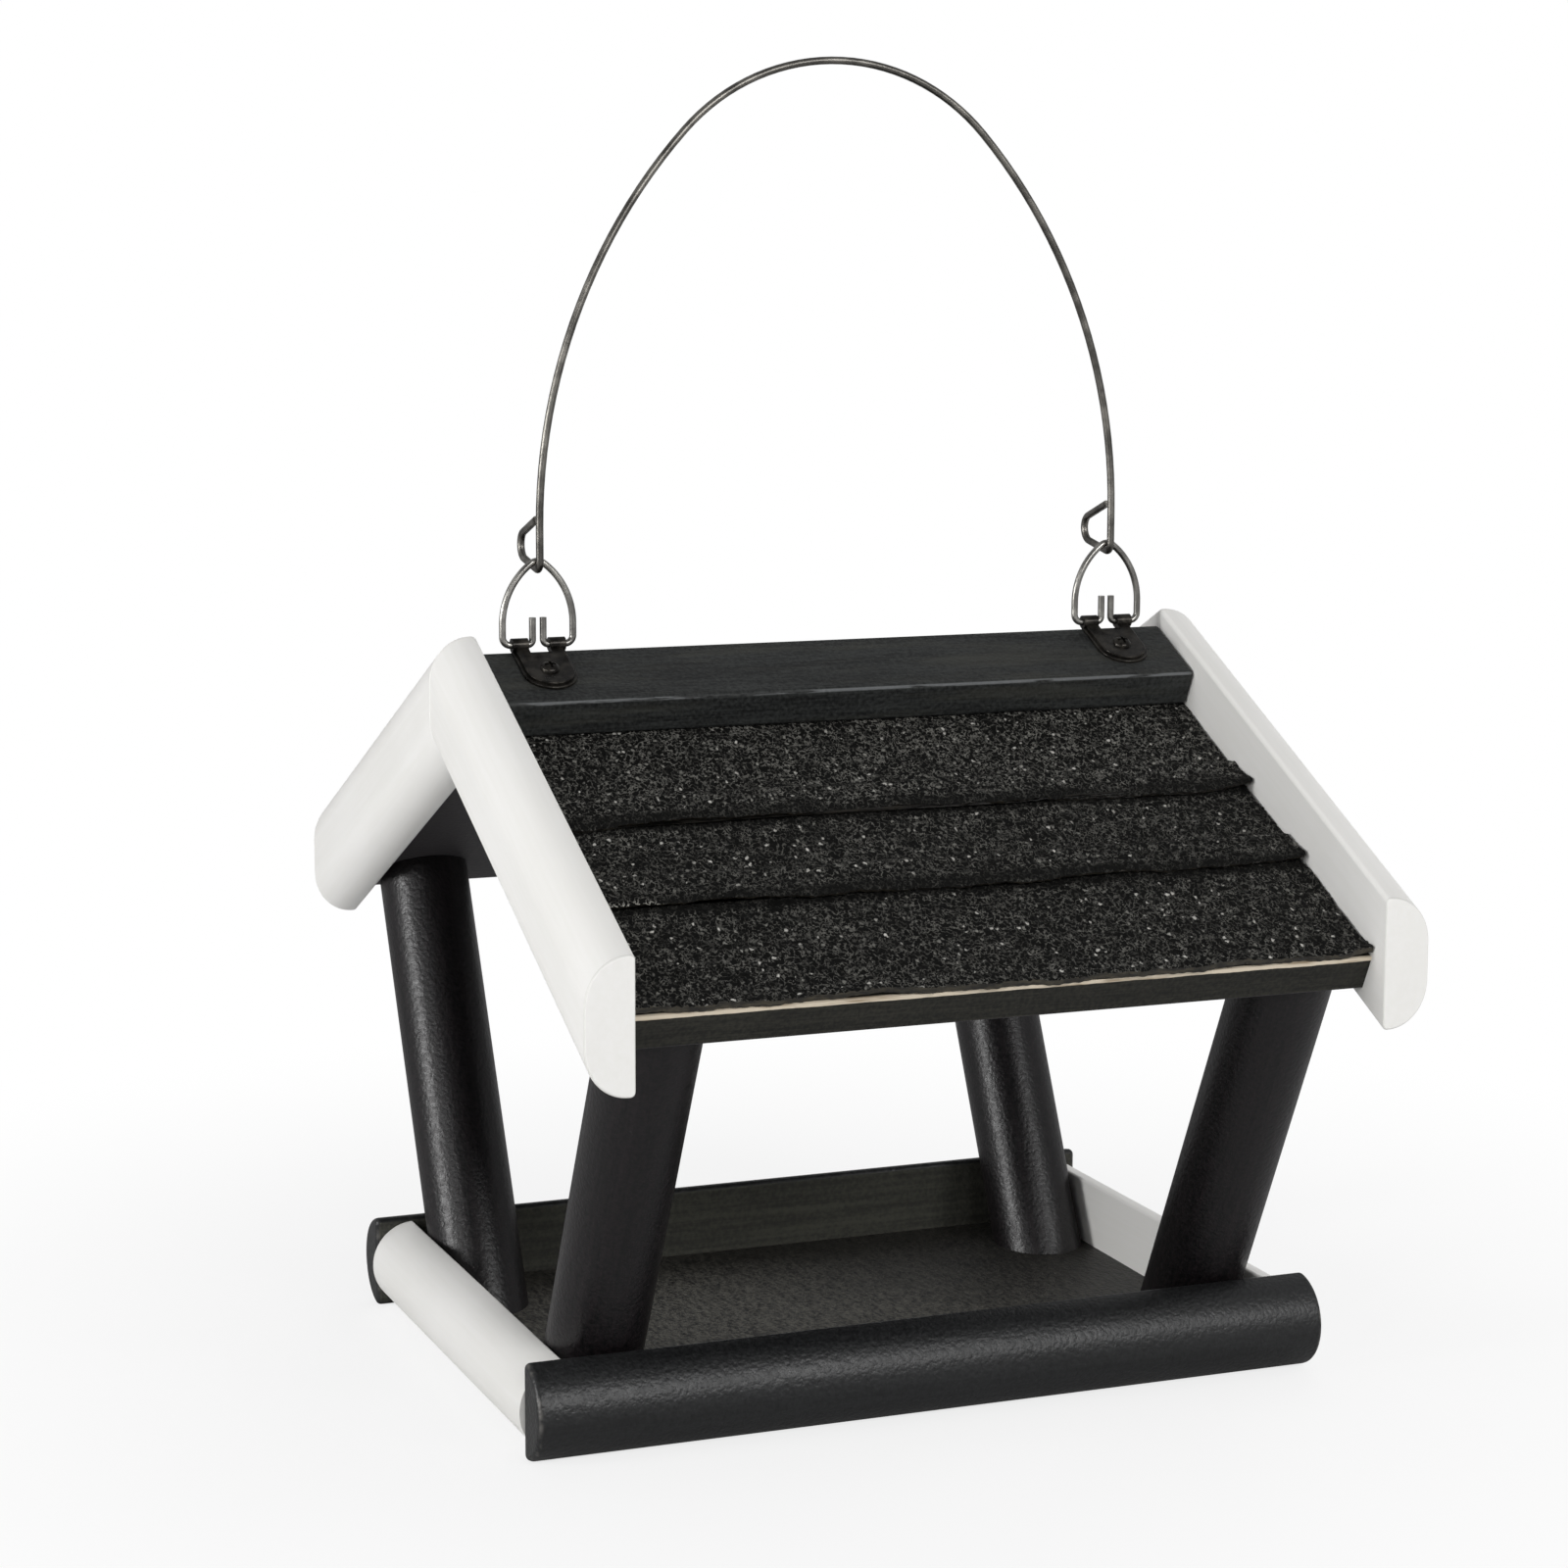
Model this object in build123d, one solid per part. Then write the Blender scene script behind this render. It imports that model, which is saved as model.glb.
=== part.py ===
from build123d import *
from math import atan2, cos, degrees, hypot, radians, sin, tan
import os

# Hanging bird feeder: a tray on four leaning posts under a felted gable roof, hung by a wire bail.
# Millimetres. X runs along the ridge, the front is at -Y, Z is up, and the tray stands on Z = 0.

# Tray
TRAY_WIDTH = 218.0  # between the flat faces of the two side rails
TRAY_DEPTH = 152.0  # between the flat faces of the two long rails
FLOOR_THICK = 6.0
RAIL_HEIGHT = 28.0  # long rails, half round
RAIL_THICK = 14.0
RAIL_PAST = 12.0  # a long rail's end beyond the side rail's flat face
SIDE_RAIL_HEIGHT = 26.5
SIDE_RAIL_THICK = 13.2
RAIL_ARRIS = 1.8  # rounded corner between a long rail's flat and round sides
RAIL_END_ROUND = 1.6
SIDE_ARRIS = 0.8

# Posts
POST_DIAMETER = 28.0
POST_SIDE_GAP = 0.3  # post to the side rail's flat face
POST_RAIL_GAP = 0.3  # post to the long rail's inner top corner

# Roof
PITCH = 26.0  # degrees
APEX_HEIGHT = 197.7  # where the panels' top faces meet
PANEL_THICK = 10.5
PANEL_PAST = 0.5  # a panel's end beyond the side rail's flat face
EAVE_LIP = 2.7  # panel beyond the outer side of a post's head
FELT_THICK = 2.2
FELT_EDGE_ONE = 66.0  # lower edge of the top course, measured down the slope
FELT_EDGE_TWO = 103.5  # lower edge of the middle course
FELT_LAP = 10.0  # each course runs up this far under the next
FELT_RAMP = 4.0  # length in which a course climbs on to the one below
FELT_PAST_EAVE = 0.3
RIDGE_WIDTH = 26.4  # top face of a ridge board
RIDGE_THICK = 11.8
RIDGE_ROUND = 1.4
RIDGE_END_ROUND = 1.3
BARGE_WIDTH = 33.6
BARGE_THICK = 13.9
BARGE_ROUND = 12.0  # the two outer edges
BARGE_PROUD = 19.0  # barge edge above the panel's top face
BARGE_PAST_EAVE = 7.0
BARGE_ARRIS = 1.4
BARGE_END_ROUND = 0.6

# Strap hangers, rings and bail
HANGER_INSET = 18.5  # hanger's middle from the roof's end
STRAP_WIDTH = 16.0
STRAP_SHEET = 0.9
STRAP_EDGE = 0.35  # rounding of the sheet's upper edge
STRAP_REACH = 21.0  # from the knuckle's axis to the rounded front end
STRAP_STEP = 0.9  # the folded upper leaf is this much smaller all round
STRAP_SLOT = 6.4  # gap between the two knuckles
STRAP_SLOT_DEPTH = 4.5
STRAP_SCREW_AT = 12.5  # screw from the knuckle's axis
KNUCKLE_PLAY = 0.08  # ring wire in the rolled knuckle
RING_WIRE = 2.0
RING_CORNER = 2.4
RING_SIDE_GAP = 0.2  # start of the corner bend beyond the knuckle's end
RING_BELLY = 6.0  # height of the widest place above the knuckle's axis
RING_HEIGHT = 24.0  # knuckle's axis to the top of the ring, on the wire's centre line
RING_TOP_RADIUS = 3.2
PRONG_LENGTH = 7.8
PRONG_BEND = 1.5
PRONG_PLAY = 0.1
BAIL_WIRE = 2.2
BAIL_PLAY = 0.3  # hook to ring
BAIL_RISE = 142.5  # ring's top to the bail's top, on centre lines
BAIL_TOP_RADIUS = 64.0
BAIL_LEG = 10.0  # straight leg above the hook
HOOK_SLOPE = 10.0  # degrees, rise of the hook's lower run
HOOK_RUN = 12.0
HOOK_CURL = 4.0
HOOK_TIP_ANGLE = 160.0  # degrees, direction of the hook's end run
HOOK_TIP_RUN = 13.0

# Fasteners
FIT = 0.05  # play of a fastener in its hole
SCREW = 4.0
SCREW_HEAD = 7.6
FOOT_SCREW_LENGTH = 20.0
HEAD_SCREW_LENGTH = 32.0
RIDGE_SCREW = 3.0
RIDGE_SCREW_HEAD = 5.6
RIDGE_SCREW_BITE = 8.0  # in the ridge board
RIDGE_SCREW_DOWN = 9.0  # down the slope from the apex
RIDGE_SCREW_SPACING = 72.0
BRAD = 1.6
BRAD_HEAD = 2.6
BRAD_BITE = 14.0  # in the second piece
BRAD_SET = 0.8  # heads are punched this far below the surface and filled over
RAIL_BRAD_SPACING = 80.0
SIDE_BRAD_SPACING = 64.0
BARGE_BRADS = (40.0, 108.0)  # down the slope from the apex
DOWEL = 6.0
DOWEL_BITE = 9.0  # in each rail
DOWEL_IN = 6.0  # from the side rail's flat face
STRAP_SCREW = 3.0
STRAP_SCREW_BITE = 9.0
STRAP_SCREW_HEAD = 5.6
STRAP_SCREW_RISE = 1.7
STRAP_SCREW_CROSS = 0.8  # width of the cross recess
STRAP_SCREW_CROSS_SPAN = 3.4

# Worked out from the sizes above
COS = cos(radians(PITCH))
SIN = sin(radians(PITCH))
TAN = tan(radians(PITCH))
roof_half = TRAY_WIDTH / 2 + PANEL_PAST
post_x = TRAY_WIDTH / 2 - POST_SIDE_GAP - POST_DIAMETER / 2
post_y_at_rail = TRAY_DEPTH / 2 - POST_RAIL_GAP - POST_DIAMETER / 2 / COS
post_down = post_y_at_rail * COS + (APEX_HEIGHT - RAIL_HEIGHT) * SIN
post_foot_y = post_y_at_rail - (RAIL_HEIGHT - FLOOR_THICK) * TAN
panel_slope = post_down + POST_DIAMETER / 2 + EAVE_LIP
ridge_top = FELT_THICK + RIDGE_THICK
ridge_edge = RIDGE_WIDTH - ridge_top * TAN
barge_end = panel_slope * COS + BARGE_PAST_EAVE
hanger_x = roof_half - HANGER_INSET
knuckle_bore = RING_WIRE / 2 + KNUCKLE_PLAY
knuckle_radius = knuckle_bore + STRAP_SHEET
knuckle_lift = ridge_top + knuckle_radius
knuckle_z = APEX_HEIGHT + knuckle_lift / COS
pivot_z = knuckle_z + RING_HEIGHT


def slope(down, lift, side=-1):
    """Y and Z of a point on a roof slope: down from the apex, lifted square off the panel's top face."""
    return side * (down * COS + lift * SIN), APEX_HEIGHT - down * SIN + lift * COS


def slope_plane(x, down, lift):
    """Plane on the front slope: local X along the ridge, local Y up the slope, local Z square off it."""
    return Plane((x, *slope(down, lift)), x_dir=(1, 0, 0), z_dir=(0, -SIN, COS))


def prism(points, length):
    """Outline in the Y-Z plane, drawn out along X, half to each side of the middle."""
    return extrude(Plane.YZ.offset(-length / 2) * make_face(Polyline(*points, close=True)), length)


def half_round(width, thick):
    """Half-round section: flat side on local Y, round side towards +X."""
    round_side = ThreePointArc((0, -width / 2), (thick, 0), (0, width / 2))
    return make_face([round_side, Line(round_side @ 1, round_side @ 0)])


def front_back(shape):
    """A piece of the front and its mirror image at the back."""
    return [shape, mirror(shape, Plane.XZ)]


def left_right(shape):
    """A piece of the right side and its mirror image on the left."""
    return [shape, mirror(shape, Plane.YZ)]


def four_corners(shape):
    """A piece of the front right corner and its three mirror images."""
    return [corner for half in front_back(shape) for corner in left_right(half)]


def screw(diameter, length, head, play=0.0):
    """Countersunk screw or brad, pointing down local -Z, head flush with local Z = 0."""
    core = diameter / 2 + play
    rim = head / 2 + play
    tip = length + play
    outline = [(0, 0), (rim, 0), (core, core - rim), (core, core - tip), (0, -tip)]
    return revolve(Plane.XZ * make_face(Polyline(*outline, close=True)), Axis.Z)


def swept(edges, diameter):
    """Round wire along a smooth chain of lines and arcs."""
    path = Wire(edges)
    return sweep(Plane(path @ 0, z_dir=path % 0) * Circle(diameter / 2), path=path)


def around(centre, radius, angle):
    """Point on a circle, in the plane of its two coordinates."""
    return centre[0] + radius * cos(radians(angle)), centre[1] + radius * sin(radians(angle))


def screws(places, diameter, length, head):
    """The same screw or brad at each place, and the holes for them."""
    solids = [place * screw(diameter, length, head) for place in places]
    holes = [place * screw(diameter, length, head, FIT) for place in places]
    return solids, holes


def brad_depth(width, thick, level):
    """Depth of a sunk brad head in a half-round bar, at a distance from the bar's lower edge."""
    radius = (width**2 / 4 + thick**2) / (2 * thick)
    from_middle = width / 2 - level + BRAD_HEAD / 2
    return (radius**2 - from_middle**2) ** 0.5 - radius + thick - BRAD_SET


# Post screws: up through the floor, and down through the roof panel under the felt
foot_place = Plane((post_x, -post_foot_y, 0), z_dir=(0, 0, -1))
foot_screws, foot_holes = screws([foot_place], SCREW, FOOT_SCREW_LENGTH, SCREW_HEAD)
head_place = slope_plane(post_x, post_down, 0)
head_screws, head_holes = screws([head_place], SCREW, HEAD_SCREW_LENGTH, SCREW_HEAD)

# Ridge screws: from inside, through panel and felt into the ridge board
ridge_places = []
for step in (-1, 0, 1):
    under = slope_plane(step * RIDGE_SCREW_SPACING, RIDGE_SCREW_DOWN, -PANEL_THICK)
    ridge_places.append(Plane(under.origin, x_dir=under.x_dir, z_dir=-under.z_dir))
ridge_screw_length = PANEL_THICK + FELT_THICK + RIDGE_SCREW_BITE
ridge_screws, ridge_holes = screws(ridge_places, RIDGE_SCREW, ridge_screw_length, RIDGE_SCREW_HEAD)

# Brads: through the rails into the floor's edges, and through the barge boards into the panels' ends
brad_level = FLOOR_THICK / 2
rail_brad_depth = brad_depth(RAIL_HEIGHT, RAIL_THICK, brad_level)
rail_brad_y = -TRAY_DEPTH / 2 - rail_brad_depth
rail_brad_places = []
for step in (-1, 0, 1):
    rail_brad_places.append(Plane((step * RAIL_BRAD_SPACING, rail_brad_y, brad_level), z_dir=(0, -1, 0)))
rail_brads, rail_brad_holes = screws(rail_brad_places, BRAD, rail_brad_depth + BRAD_BITE, BRAD_HEAD)

side_brad_depth = brad_depth(SIDE_RAIL_HEIGHT, SIDE_RAIL_THICK, brad_level)
side_brad_x = TRAY_WIDTH / 2 + side_brad_depth
side_brad_places = []
for step in (-1, 1):
    side_brad_places.append(Plane((side_brad_x, step * SIDE_BRAD_SPACING / 2, brad_level), z_dir=(1, 0, 0)))
side_brads, side_brad_holes = screws(side_brad_places, BRAD, side_brad_depth + BRAD_BITE, BRAD_HEAD)

barge_middle = BARGE_PROUD - BARGE_WIDTH / 2
barge_brad_reach = PANEL_THICK / 2 + barge_middle + BRAD_HEAD / 2 - BARGE_WIDTH / 2 + BARGE_ROUND
barge_brad_depth = BARGE_THICK - BARGE_ROUND + (BARGE_ROUND**2 - barge_brad_reach**2) ** 0.5 - BRAD_SET
barge_brad_places = []
for down in BARGE_BRADS:
    nail_y, nail_z = slope(down, -PANEL_THICK / 2)
    barge_brad_places.append(Plane((roof_half + barge_brad_depth, nail_y, nail_z), z_dir=(1, 0, 0)))
barge_brads, barge_brad_holes = screws(barge_brad_places, BRAD, barge_brad_depth + BRAD_BITE, BRAD_HEAD)

# Dowels join the side rails' ends to the long rails
dowel_place = Plane((TRAY_WIDTH / 2 + DOWEL_IN, -TRAY_DEPTH / 2, SIDE_RAIL_HEIGHT / 2), z_dir=(0, 1, 0))
dowel = dowel_place * Cylinder(DOWEL / 2, 2 * DOWEL_BITE)
dowel_hole = dowel_place * Cylinder(DOWEL / 2 + FIT, 2 * DOWEL_BITE + 2 * FIT)

pieces = {}

# Tray floor: a thin board inside the four rails
floor = Pos(0, 0, FLOOR_THICK / 2) * Box(TRAY_WIDTH, TRAY_DEPTH, FLOOR_THICK)
for hole in foot_holes:
    floor -= four_corners(hole)
for hole in rail_brad_holes:
    floor -= front_back(hole)
for hole in side_brad_holes:
    floor -= left_right(hole)
pieces["tray_floor"] = floor

# Long rails: half round, flat side inward, standing past the side rails at both ends
rail_half = TRAY_WIDTH / 2 + RAIL_PAST
rail_plane = Plane((-rail_half, -TRAY_DEPTH / 2, RAIL_HEIGHT / 2), x_dir=(0, -1, 0), z_dir=(1, 0, 0))
long_rail = extrude(rail_plane * half_round(RAIL_HEIGHT, RAIL_THICK), 2 * rail_half)
long_rail = fillet(long_rail.edges().filter_by(Axis.X), RAIL_ARRIS)
rail_ends = long_rail.faces().filter_by(Axis.X)
long_rail = fillet(rail_ends.edges(), RAIL_END_ROUND)
for hole in rail_brad_holes:
    long_rail -= hole
long_rail -= left_right(dowel_hole)
pieces["front_rail"], pieces["back_rail"] = front_back(long_rail)

# Side rails: half round, butted between the long rails
side_foot = (TRAY_WIDTH / 2, TRAY_DEPTH / 2, SIDE_RAIL_HEIGHT / 2)
side_plane = Plane(side_foot, x_dir=(1, 0, 0), z_dir=(0, -1, 0))
side_rail = extrude(side_plane * half_round(SIDE_RAIL_HEIGHT, SIDE_RAIL_THICK), TRAY_DEPTH)
side_rail = fillet(side_rail.edges().filter_by(Axis.Y), SIDE_ARRIS)
for hole in side_brad_holes:
    side_rail -= hole
side_rail -= front_back(dowel_hole)
pieces["right_rail"], pieces["left_rail"] = left_right(side_rail)

# Posts: round, square to the roof at the head, cut level at the foot
post_top = slope_plane(post_x, post_down, -PANEL_THICK)
post = extrude(post_top * Circle(POST_DIAMETER / 2), -APEX_HEIGHT / COS)
post = split(post, Plane.XY.offset(FLOOR_THICK), Keep.TOP)
for hole in foot_holes + head_holes:
    post -= hole
for front, right in zip(("front", "back"), front_back(post)):
    pieces[front + "_right_post"], pieces[front + "_left_post"] = left_right(right)

# Roof panels: boards that meet in a plumb joint at the ridge, cut square at the eaves
panel = prism(
    [
        (0, APEX_HEIGHT),
        slope(panel_slope, 0),
        slope(panel_slope, -PANEL_THICK),
        (0, APEX_HEIGHT - PANEL_THICK / COS),
    ],
    2 * roof_half,
)
for hole in ridge_holes:
    panel -= hole
for hole in head_holes + barge_brad_holes:
    panel -= left_right(hole)
pieces["front_roof_panel"], pieces["back_roof_panel"] = front_back(panel)


def felt_course(top, bottom, climb_at):
    """Outline of a felt strip that lies on the panel and then climbs on to the course below."""
    bend = climb_at - FELT_RAMP
    under = [(top, 0), (bend, 0), (climb_at, FELT_THICK), (bottom, FELT_THICK)]
    return [slope(down, lift) for down, lift in under], [
        slope(down, lift + FELT_THICK) for down, lift in reversed(under)
    ]


# Felt: three courses on each slope, the lowest laid first, the top one up to the ridge
eave_edge = panel_slope + FELT_PAST_EAVE
eave_top = FELT_EDGE_TWO - FELT_LAP
middle_top = FELT_EDGE_ONE - FELT_LAP
eave_under = [slope(eave_top, 0), slope(eave_edge, 0)]
eave_over = [slope(eave_edge, FELT_THICK), slope(eave_top, FELT_THICK)]
middle_under, middle_over = felt_course(middle_top, FELT_EDGE_TWO, eave_top - FELT_THICK)
top_under, top_over = felt_course(0, FELT_EDGE_ONE, middle_top - FELT_THICK)
top_under[0] = (0, APEX_HEIGHT)
top_over[-1] = (0, APEX_HEIGHT + FELT_THICK / COS)
felt = {
    "eave": prism(eave_under + eave_over, 2 * roof_half),
    "middle": prism(middle_under + middle_over, 2 * roof_half),
    "top": prism(top_under + top_over, 2 * roof_half),
}
for hole in ridge_holes:
    felt["top"] -= hole
for name, strip in felt.items():
    pieces["front_felt_" + name], pieces["back_felt_" + name] = front_back(strip)

# Ridge boards: one on each slope over the felt, meeting in a plumb joint
ridge_board = prism(
    [
        (0, APEX_HEIGHT + ridge_top / COS),
        slope(ridge_edge, ridge_top),
        slope(ridge_edge, FELT_THICK),
        (0, APEX_HEIGHT + FELT_THICK / COS),
    ],
    2 * roof_half,
)
front_edges = ridge_board.edges().filter_by(Axis.X).sort_by(Axis.Y)[:2]
ridge_board = fillet(front_edges, RIDGE_ROUND)
felt_face = slope_plane(0, 0, FELT_THICK)
shown_ends = []
for edge in ridge_board.faces().filter_by(Axis.X).edges():
    on_felt = felt_face.to_local_coords(edge.center()).Z < FIT
    on_joint = edge.center().Y > -FIT
    if not on_felt and not on_joint:
        shown_ends.append(edge)
ridge_board = fillet(shown_ends, RIDGE_END_ROUND)
for hole in ridge_holes:
    ridge_board -= hole
strap_screw_plane = slope_plane(hanger_x, STRAP_SCREW_AT - knuckle_lift * TAN, ridge_top + 2 * STRAP_SHEET)
strap_screw_length = 2 * STRAP_SHEET + STRAP_SCREW_BITE
strap_screw_hole = strap_screw_plane * Cylinder(STRAP_SCREW / 2 + FIT, 2 * (strap_screw_length + FIT))
pieces["back_ridge_board"] = mirror(ridge_board, Plane.XZ)
pieces["front_ridge_board"] = ridge_board - left_right(strap_screw_hole)

# Barge boards: flat on the roof's end, outer edges well rounded, mitred at the ridge, cut plumb at the foot
barge_section = Rectangle(BARGE_THICK, BARGE_WIDTH, align=(Align.MIN, Align.CENTER))
barge_section = fillet(barge_section.vertices().group_by(Axis.X)[-1], BARGE_ROUND)
barge_section = fillet(barge_section.vertices().group_by(Axis.X)[0], BARGE_ARRIS)
barge_start = slope(-BARGE_WIDTH, barge_middle)
barge_plane = Plane((roof_half, *barge_start), x_dir=(1, 0, 0), z_dir=(0, -COS, -SIN))
barge = extrude(barge_plane * barge_section, barge_end / COS + 3 * BARGE_WIDTH)
barge = split(barge, Plane.XZ, Keep.TOP)
barge_cut = Plane((roof_half, -barge_end, 0), x_dir=(1, 0, 0), z_dir=(0, -1, 0))
barge = split(barge, barge_cut, Keep.BOTTOM)
barge_foot = barge.faces().filter_by(barge_cut)
barge = fillet(barge_foot.edges(), BARGE_END_ROUND)
for hole in barge_brad_holes:
    barge -= hole
for front, right in zip(("front", "back"), front_back(barge)):
    pieces[front + "_right_barge"], pieces[front + "_left_barge"] = left_right(right)

# Strap hangers: sheet folded round the ring's wire, two leaves screwed down on the front ridge board
strap_plane = slope_plane(hanger_x, -knuckle_lift * TAN, ridge_top)


def strap_leaf(lift, inset):
    """One leaf of the strap: a tongue with a round front end."""
    half = STRAP_WIDTH / 2 - inset
    straight = STRAP_REACH - inset - half
    outline = Pos(0, -straight / 2) * Rectangle(2 * half, straight) + Pos(0, -straight) * Circle(half)
    leaf = extrude(outline, STRAP_SHEET)
    rim = [edge for edge in leaf.edges().group_by(Axis.Z)[-1] if edge.center().Y < -STRAP_EDGE]
    return strap_plane * Pos(0, 0, lift) * fillet(rim, STRAP_EDGE)


knuckle_plane = Plane((hanger_x, 0, knuckle_z), x_dir=(0, 1, 0), z_dir=(1, 0, 0))
strap = strap_leaf(0, 0) + strap_leaf(STRAP_SHEET, STRAP_STEP)
strap += knuckle_plane * Cylinder(knuckle_radius, STRAP_WIDTH)
strap -= knuckle_plane * Cylinder(knuckle_bore, 2 * STRAP_WIDTH)
slot_length = STRAP_SLOT_DEPTH + 2 * knuckle_radius
slot_box = Box(STRAP_SLOT, slot_length, 6 * knuckle_radius)
strap -= strap_plane * Pos(0, 2 * knuckle_radius - slot_length / 2) * slot_box
strap -= strap_screw_hole
pieces["right_hanger_strap"], pieces["left_hanger_strap"] = left_right(strap)

# Strap screws: domed head with a cross recess
dome = EllipticalCenterArc((0, 0), STRAP_SCREW_HEAD / 2, STRAP_SCREW_RISE, start_angle=0, arc_size=90)
head_outline = make_face([dome, Line(dome @ 1, (0, 0)), Line((0, 0), dome @ 0)])
strap_screw = revolve(Plane.XZ * head_outline, Axis.Z)
strap_screw += Pos(0, 0, -strap_screw_length / 2) * Cylinder(STRAP_SCREW / 2, strap_screw_length)
for turn in (0, 90):
    cross = Box(STRAP_SCREW_CROSS_SPAN, STRAP_SCREW_CROSS, STRAP_SCREW_RISE)
    strap_screw -= Rot(0, 0, turn) * Pos(0, 0, STRAP_SCREW_RISE) * cross
pieces["hanger_screws"] = Compound(left_right(strap_screw_plane * strap_screw))

# Rings: pear-shaped wire whose ends run in through the knuckles and turn up between them
ring_half = STRAP_WIDTH / 2 + RING_SIDE_GAP + RING_CORNER
prong_x = STRAP_SLOT / 2 - PRONG_PLAY - PRONG_BEND
top_centre = (0.0, RING_HEIGHT - RING_TOP_RADIUS)
belly_rise = top_centre[1] - RING_BELLY
side_span = ring_half**2 + belly_rise**2 - RING_TOP_RADIUS**2
side_radius = side_span / (2 * (ring_half - RING_TOP_RADIUS))
side_centre = (ring_half - side_radius, RING_BELLY)
side_turn = degrees(atan2(belly_rise, -side_centre[0]))
bend_centre = (prong_x + PRONG_BEND, PRONG_BEND)
corner_centre = (ring_half - RING_CORNER, RING_CORNER)


def ring_point(point, hand=1):
    """Ring drawing to space: right-hand side or its mirror."""
    return hanger_x + hand * point[0], 0, knuckle_z + point[1]


def ring_side(hand):
    """Half of a ring's wire, from the prong's tip to the start of the top bend."""
    prong = [(prong_x, PRONG_LENGTH), (prong_x, PRONG_BEND)]
    bend = [around(bend_centre, PRONG_BEND, turn) for turn in (180, 225, 270)]
    through = [bend[-1], (corner_centre[0], 0)]
    corner = [around(corner_centre, RING_CORNER, turn) for turn in (270, 315, 360)]
    upright = [corner[-1], (ring_half, RING_BELLY)]
    flank = [around(side_centre, side_radius, turn) for turn in (0, side_turn / 2, side_turn)]
    runs = [prong, bend, through, corner, upright, flank]
    edges = []
    for run in runs:
        points = [ring_point(point, hand) for point in run]
        edges.append(Line(*points) if len(points) == 2 else ThreePointArc(*points))
    return edges


ring_top = [around(top_centre, RING_TOP_RADIUS, turn) for turn in (side_turn, 90, 180 - side_turn)]
ring_top_edge = ThreePointArc(*[ring_point(point) for point in ring_top])
ring = swept(ring_side(1) + [ring_top_edge] + ring_side(-1)[::-1], RING_WIRE)
pieces["right_ring"], pieces["left_ring"] = left_right(ring)

# Bail: one stiff wire, an arch of three arcs with a hook at each end that curls to the back
hook_radius = RING_WIRE / 2 + BAIL_PLAY + BAIL_WIRE / 2
bail_y = -hook_radius
arch_rise = BAIL_RISE - BAIL_LEG
arch_drop = arch_rise - BAIL_TOP_RADIUS
flank_span = hanger_x**2 + arch_drop**2 - BAIL_TOP_RADIUS**2
flank_radius = flank_span / (2 * (hanger_x - BAIL_TOP_RADIUS))
leg_z = pivot_z + BAIL_LEG
arch_centre = (0.0, leg_z + arch_drop)
flank_centre = (hanger_x - flank_radius, leg_z)
flank_turn = degrees(atan2(arch_drop, -flank_centre[0]))
pivot = (0.0, pivot_z)
hook_exit = around(pivot, hook_radius, 270 + HOOK_SLOPE)
run_end = around(hook_exit, HOOK_RUN, HOOK_SLOPE)
curl_centre = around(run_end, HOOK_CURL, HOOK_SLOPE + 90)
curl_end = around(curl_centre, HOOK_CURL, HOOK_TIP_ANGLE - 90)
hook_tip = around(curl_end, HOOK_TIP_RUN, HOOK_TIP_ANGLE)


def bail_side(hand):
    """Half of the bail's wire, from the top bend's end to the hook's tip."""
    flank = [around(flank_centre, flank_radius, turn) for turn in (flank_turn, flank_turn / 2, 0)]
    edges = [ThreePointArc(*[(hand * x, bail_y, z) for x, z in flank])]
    side_x = hand * hanger_x
    hook_middle = 225 + HOOK_SLOPE / 2
    curl_middle = (HOOK_SLOPE + HOOK_TIP_ANGLE) / 2 - 90
    runs = [
        [(bail_y, leg_z), (bail_y, pivot_z)],
        [(bail_y, pivot_z), around(pivot, hook_radius, hook_middle), hook_exit],
        [hook_exit, run_end],
        [run_end, around(curl_centre, HOOK_CURL, curl_middle), curl_end],
        [curl_end, hook_tip],
    ]
    for run in runs:
        points = [(side_x, y, z) for y, z in run]
        edges.append(Line(*points) if len(points) == 2 else ThreePointArc(*points))
    return edges


arch_top = [around(arch_centre, BAIL_TOP_RADIUS, turn) for turn in (180 - flank_turn, 90, flank_turn)]
top_edge = ThreePointArc(*[(x, bail_y, z) for x, z in arch_top])
pieces["bail"] = swept(bail_side(-1)[::-1] + [top_edge] + bail_side(1), BAIL_WIRE)

# Hidden fasteners, each kind one group
pieces["post_foot_screws"] = Compound([copy for one in foot_screws for copy in four_corners(one)])
pieces["post_head_screws"] = Compound([copy for one in head_screws for copy in four_corners(one)])
pieces["ridge_screws"] = Compound([copy for one in ridge_screws for copy in front_back(one)])
floor_brads = [copy for one in rail_brads for copy in front_back(one)]
floor_brads += [copy for one in side_brads for copy in left_right(one)]
pieces["floor_brads"] = Compound(floor_brads)
pieces["barge_brads"] = Compound([copy for one in barge_brads for copy in four_corners(one)])
pieces["rail_dowels"] = Compound(four_corners(dowel))

os.makedirs("parts", exist_ok=True)
for name, shape in pieces.items():
    export_step(shape, "parts/" + name + ".step")
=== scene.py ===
import math

import bpy
import numpy as np
from mathutils import Matrix, Vector


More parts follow.
